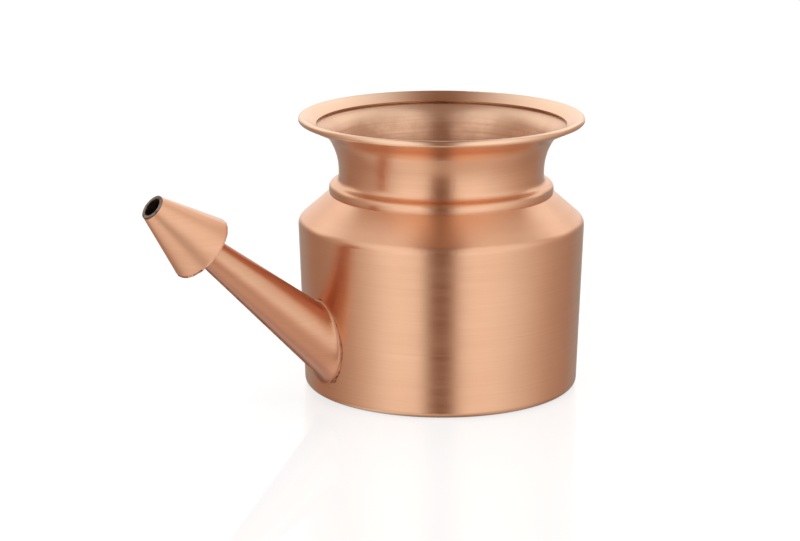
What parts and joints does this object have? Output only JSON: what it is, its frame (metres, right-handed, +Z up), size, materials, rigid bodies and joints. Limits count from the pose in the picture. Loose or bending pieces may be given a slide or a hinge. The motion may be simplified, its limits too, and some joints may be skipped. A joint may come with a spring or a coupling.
{
  "type": "nasal rinsing pot",
  "caption": "Round satin copper pot with a flared, rolled brim and a rising tapered spout that ends in a hollow cone-shaped nozzle, for pouring a thin stream.",
  "frame": {"origin": "centre of the flat base", "axes": "+Z up along the pot's axis; the spout rises towards -X; +Y completes the right-handed frame"},
  "size_m": [0.1589, 0.0964, 0.0921],
  "materials": {
    "satin_copper": "satin brushed copper",
    "copper_braze": "rough reddish copper braze",
    "grey_solder": "dull grey-brown solder"
  },
  "bodies": {
    "root": {"body_shell": "satin_copper", "neck_collar": "satin_copper", "neck_seam_braze": "copper_braze", "spout_tube": "satin_copper", "spout_seam_braze": "copper_braze", "spout_root_braze": "copper_braze", "nozzle_cone": "satin_copper", "nozzle_back_plate": "satin_copper", "nozzle_rim_braze": "copper_braze", "nozzle_collar_braze": "copper_braze", "nozzle_tip_solder": "grey_solder"}
  },
  "joints": []
}
